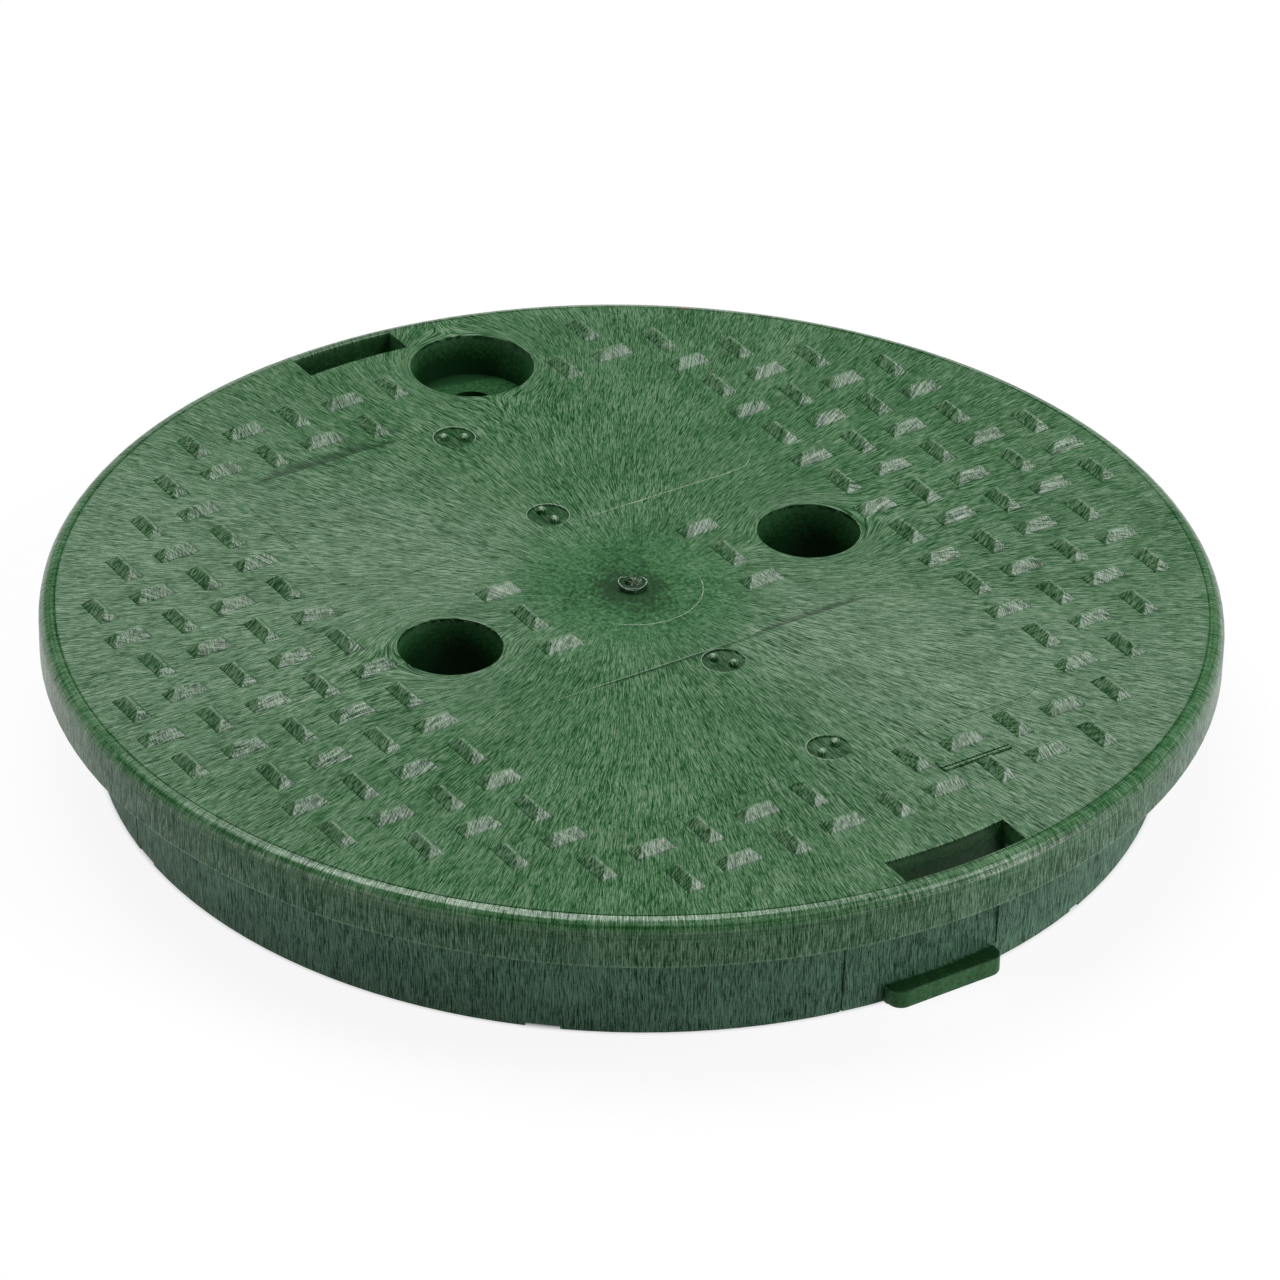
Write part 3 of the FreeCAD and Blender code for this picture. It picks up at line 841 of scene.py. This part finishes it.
def add_ridge(mesh, path, width, height):
    """Add a low rounded ridge along a path, fading out at both ends."""
    last = len(path) - 1
    sections = []
    for number, point in enumerate(path):
        along = (path[min(number + 1, last)] - path[max(number - 1, 0)]).normalized()
        across = Vector((along.y, -along.x, 0))
        from_start = RIDGE_END_SHARE + RIDGE_END_GROWTH * number / last
        from_end = RIDGE_END_SHARE + RIDGE_END_GROWTH * (last - number) / last
        fade = min(1.0, from_start, from_end)
        section = []
        for aside, rise in RIDGE_OUTLINE:
            lift = Vector((0, 0, rise * height * fade))
            section.append(mesh.verts.new(point + across * (aside * width * fade) + lift))
        sections.append(section)
    mesh.faces.new(sections[0])
    mesh.faces.new(reversed(sections[-1]))
    corners = len(RIDGE_OUTLINE)
    for first, second in zip(sections, sections[1:]):
        for corner in range(corners):
            following = (corner + 1) % corners
            mesh.faces.new((first[corner], second[corner], second[following], first[following]))


# Raised arcs round the recesses, coloured whitish as a painted highlight on their rims
outlines = bmesh.new()
for mark_x, mark_y in SCREW_MARK_PLACES:
    arc_start, arc_end = FRONT_OUTLINE_ARC if mark_y < 0 else BACK_OUTLINE_ARC
    outline_points = arc_points(
        mark_x, mark_y, SCREW_MARK_RADIUS + RIDGE_WIDTH, PANEL_TOP, arc_start, arc_end, ARC_STEPS)
    add_ridge(outlines, outline_points, RIDGE_WIDTH, RIDGE_HEIGHT)
moulded_piece("screw_mark_outlines", outlines, whitening_and_highlight)

# Panel flash
# A little plastic crept into the joint round each panel's plate in the mould. It stands as a fine ridge
# along part of the panel's edge, and it is one with the cover. Its whitish colour is a painted highlight.
PANEL_NEAR_EDGE = 29.55 * MM
PANEL_HALF_LENGTH = 53.75 * MM
PANEL_CORNER = 8.0 * MM
FLASH_BASE = PLATE_TOP + 0.06 * MM
FLASH_WIDTH = 0.21 * MM
FLASH_HEIGHT = 0.09 * MM
FLASH_STEPS = 24
FLASH_CORNER_STEPS = 12
FRONT_FLASH_START = -44.0 * MM
FRONT_FLASH_END = 10.0 * MM
BACK_FLASH_START = 3.5 * MM
BACK_FLASH_CORNER = (-90, -20)


def edge_points(start, end, y):
    """Points along a panel's straight edge, level with its foot."""
    points = []
    for step in range(FLASH_STEPS):
        points.append(Vector((start + (end - start) * step / FLASH_STEPS, y, FLASH_BASE)))
    return points


flash = bmesh.new()
front_path = edge_points(FRONT_FLASH_START, FRONT_FLASH_END, -PANEL_NEAR_EDGE)
add_ridge(flash, front_path, FLASH_WIDTH, FLASH_HEIGHT)
corner_x = PANEL_HALF_LENGTH - PANEL_CORNER
corner_y = PANEL_NEAR_EDGE + PANEL_CORNER
back_path = edge_points(BACK_FLASH_START, corner_x, PANEL_NEAR_EDGE)
back_path += arc_points(
    corner_x, corner_y, PANEL_CORNER, FLASH_BASE, *BACK_FLASH_CORNER, FLASH_CORNER_STEPS)
add_ridge(flash, back_path, FLASH_WIDTH, FLASH_HEIGHT)
moulded_piece("panel_flash", flash, whitening_and_highlight)

# Gate
# The plug of plastic left where the melt came in. It was snapped off, so its thin wall is torn and flared,
# and strands pulled out of the middle stand up inside it. A fine line part of the way round it is the edge
# of the mould's gate plate.
GATE_PLATE_RADIUS = 15.2 * MM
GATE_LINE_START = 215
GATE_LINE_END = 355
GATE_WALL_RADIUS = 2.45 * MM
GATE_FLARE = 0.55 * MM
GATE_WALL = 0.20 * MM
GATE_LIP = 1.28 * MM
GATE_LIP_SLANT = 0.02 * MM
GATE_SIDES = 72
GATE_TEAR_SEED = 7
GATE_TEAR_TURN = radians(-33)
GATE_TEAR_DEPTH = 0.28
GATE_RIPPLES = 7
GATE_RIPPLE_DEPTH = 0.06
GATE_ROUGH_DEPTH = 0.05
STRAND_COUNT = 30
STRAND_MIDDLE = Vector((0.40, -0.25, -0.1)) * MM
STRAND_SPREAD = 1.0 * MM
STRAND_REACH = 3.1 * MM
STRAND_SHORTEST = 0.65
STRAND_WIDTHS = (0.10, 0.20)
STRAND_TURN = 2.0
STRAND_LEAN = 0.38
STRAND_SAG = 0.35
STRAND_TAPER = 0.8
STRAND_STEPS = 6
STRAND_SIDES = 5

gate_plate = bmesh.new()
gate_line = arc_points(0, 0, GATE_PLATE_RADIUS, PLATE_TOP, GATE_LINE_START, GATE_LINE_END, ARC_STEPS)
add_ridge(gate_plate, gate_line, RIDGE_WIDTH, RIDGE_HEIGHT)
moulded_piece("gate_plate_line", gate_plate, whitening_and_highlight)

tear = random.Random(GATE_TEAR_SEED)
lip = bmesh.new()
lip_rings = [[], [], [], []]
for side in range(GATE_SIDES):
    angle = 2 * pi * side / GATE_SIDES
    ragged = GATE_TEAR_DEPTH * cos(2 * (angle - GATE_TEAR_TURN))
    ragged += GATE_RIPPLE_DEPTH * sin(GATE_RIPPLES * angle)
    ragged += tear.uniform(-GATE_ROUGH_DEPTH, GATE_ROUGH_DEPTH)
    top = PLATE_TOP + GATE_LIP * (1.0 + ragged)
    flare = GATE_WALL_RADIUS + GATE_FLARE * (1.0 + ragged)
    corners = (
        (GATE_WALL_RADIUS, PLATE_TOP),
        (flare, top),
        (flare - GATE_WALL, top - GATE_LIP_SLANT),
        (GATE_WALL_RADIUS - GATE_WALL, PLATE_TOP),
    )
    for ring, (radius, height) in zip(lip_rings, corners):
        ring.append(lip.verts.new((radius * cos(angle), radius * sin(angle), height)))
for number, first in enumerate(lip_rings):
    second = lip_rings[(number + 1) % len(lip_rings)]
    for side in range(GATE_SIDES):
        following = (side + 1) % GATE_SIDES
        face = lip.faces.new((first[side], first[following], second[following], second[side]))
        face.material_index = 1 if number == 1 else 0
moulded_piece("gate_lip", lip, plastic, whitening_and_highlight)


def add_strand(mesh, root, lean, reach, width):
    """Add one drawn-out strand, a tapered thread that bends over as it rises."""
    heading = Vector((cos(lean), sin(lean), 0))
    sideways = Vector((-sin(lean), cos(lean), 0))
    rings = []
    for step in range(STRAND_STEPS + 1):
        share = step / STRAND_STEPS
        bent_over = heading * (reach * STRAND_LEAN * share ** 2)
        middle = root + bent_over + Vector((0, 0, reach * (share - STRAND_SAG * share ** 2)))
        thickness = width * (1.0 - STRAND_TAPER * share)
        ring = []
        for side in range(STRAND_SIDES):
            angle = 2 * pi * side / STRAND_SIDES
            ring.append(mesh.verts.new(
                middle + heading * (thickness * cos(angle)) + sideways * (thickness * sin(angle))))
        rings.append(ring)
    for lower, upper in zip(rings, rings[1:]):
        for side in range(STRAND_SIDES):
            following = (side + 1) % STRAND_SIDES
            mesh.faces.new((lower[side], lower[following], upper[following], upper[side]))
    mesh.faces.new(reversed(rings[0]))
    mesh.faces.new(rings[-1])


strands = bmesh.new()
for number in range(STRAND_COUNT):
    angle = tear.uniform(0, 2 * pi)
    away = STRAND_SPREAD * tear.random() ** 0.5
    root = STRAND_MIDDLE + Vector((away * cos(angle), away * sin(angle), PLATE_TOP))
    lean = angle + tear.uniform(-STRAND_TURN, STRAND_TURN)
    reach = STRAND_REACH * tear.uniform(STRAND_SHORTEST, 1.0)
    width = tear.uniform(*STRAND_WIDTHS) * MM
    add_strand(strands, root, lean, reach, width)
moulded_piece("gate_strands", strands, whitening_and_highlight)

# Studio
# A pale round floor that curves up at its edge, and soft boxes: a key at the front right, a broad one
# overhead and a little behind, and a low fill at each side. The floor shows white and keeps a faint shadow.
FLOOR_OUTLINE = ((6.0, 0.0), (6.5, 0.1), (6.9, 0.4), (7.0, 1.2))
FLOOR_SIDES = 64
FLOOR_SHADE = (0.5, 0.5, 0.5, 1)
WHITE = (1, 1, 1, 1)
OPEN_FLOOR_START = SKIRT_FOOT_RADIUS - 2 * MM
OPEN_FLOOR_END = SKIRT_FOOT_RADIUS + 1 * MM
SHADOW_SHARE = 0.09
AMBIENT = 0.08
floor_shape = bmesh.new()
floor_rings = add_turned(floor_shape, FLOOR_OUTLINE, FLOOR_SIDES, 0, 0)
floor_shape.faces.new(floor_rings[0])
bmesh.ops.recalc_face_normals(floor_shape, faces=floor_shape.faces)
floor_mesh = bpy.data.meshes.new("floor")
floor_shape.to_mesh(floor_mesh)
floor_shape.free()
floor = bpy.data.objects.new("floor", floor_mesh)
bpy.context.scene.collection.objects.link(floor)


def seen_directly(tree):
    """One where the camera sees a surface itself, in a reflection or through glass."""
    path = add_node(tree, "ShaderNodeLightPath", {})
    seen = larger(tree, path.outputs["Is Camera Ray"], path.outputs["Is Glossy Ray"])
    return larger(tree, seen, path.outputs["Is Transmission Ray"])


def white_floor():
    """Pale matt floor that glows white where it is seen, with part of its shadow left."""
    material, tree, shader = start_material("white_floor")
    tree.nodes.remove(shader)
    seen = seen_directly(tree)
    matt = add_node(tree, "ShaderNodeBsdfDiffuse", {"Color": mixed_colour(tree, seen, FLOOR_SHADE, WHITE)})
    glow = add_node(tree, "ShaderNodeEmission", {"Color": WHITE, "Strength": 1.0})
    floor_place = add_node(tree, "ShaderNodeTexCoord", {}).outputs["Object"]
    from_middle = add_node(tree, "ShaderNodeVectorMath", {0: floor_place}, operation="LENGTH")
    in_the_open = ramp_between(tree, from_middle.outputs["Value"], OPEN_FLOOR_START, OPEN_FLOOR_END)
    share = product(tree, product(tree, seen, in_the_open), 1 - SHADOW_SHARE)
    both = add_node(tree, "ShaderNodeMixShader", {0: share, 1: matt.outputs[0], 2: glow.outputs[0]})
    tree.links.new(both.outputs[0], tree.nodes["Material Output"].inputs["Surface"])
    return material


floor_mesh.materials.append(white_floor())

world = bpy.data.worlds.new("studio")
world.use_nodes = True
sky = world.node_tree.nodes["Background"]
sky.inputs["Color"].default_value = WHITE
sky.inputs["Strength"].default_value = AMBIENT
bpy.context.scene.world = world


def soft_box(name, direction, distance, width, height, level):
    """A soft box that lights the cover from one direction at a set brightness."""
    lamp = bpy.data.lights.new(name, "AREA")
    lamp.shape = "RECTANGLE"
    lamp.size = width
    lamp.size_y = height
    lamp.energy = level * pi * width * height
    box = bpy.data.objects.new(name, lamp)
    away = Vector(direction).normalized()
    box.location = away * distance
    box.rotation_euler = away.to_track_quat("Z", "Y").to_euler()
    bpy.context.scene.collection.objects.link(box)


soft_box("key", (0.47, -0.52, 0.71), 1.6, 0.5, 0.5, 9.5)
soft_box("overhead", (0.03, 0.31, 0.95), 1.8, 1.3, 1.1, 6.0)
soft_box("left_fill", (-0.95, 0.10, 0.28), 1.6, 0.8, 0.6, 1.9)
soft_box("right_fill", (0.60, -0.79, 0.08), 1.6, 0.8, 0.6, 5.8)

# Camera
# A long lens at about table height, looking down on the cover. Its place and turn were found from the
# cover's own round edges and lug rows in the photograph.
CAMERA_TURN = radians(33.517)
CAMERA_RISE = radians(31.637)
CAMERA_DISTANCE = 1.3373
CAMERA_YAW = radians(-0.0801)
CAMERA_PITCH = radians(-0.4830)
CAMERA_ROLL = radians(-1.2478)
LENS = 175.36
SENSOR = 36.0
aim = Vector((0, 0, PLATE_TOP))
level_distance = CAMERA_DISTANCE * cos(CAMERA_RISE)
eye = aim + Vector((
    -sin(CAMERA_TURN) * level_distance,
    -cos(CAMERA_TURN) * level_distance,
    CAMERA_DISTANCE * sin(CAMERA_RISE)))
ahead = (aim - eye).normalized()
right = Vector((cos(CAMERA_TURN), -sin(CAMERA_TURN), 0))
up = right.cross(ahead)
yaw = Matrix.Rotation(CAMERA_YAW, 3, up)
ahead, right = yaw @ ahead, yaw @ right
pitch = Matrix.Rotation(CAMERA_PITCH, 3, right)
ahead, up = pitch @ ahead, pitch @ up
roll = Matrix.Rotation(CAMERA_ROLL, 3, ahead)
right, up = roll @ right, roll @ up
lens = bpy.data.cameras.new("camera")
lens.lens = LENS
lens.sensor_width = SENSOR
camera = bpy.data.objects.new("camera", lens)
camera.matrix_world = Matrix((right, up, -ahead)).transposed().to_4x4()
camera.location = eye
bpy.context.scene.collection.objects.link(camera)
bpy.context.scene.camera = camera
bpy.context.scene.view_settings.view_transform = "Standard"
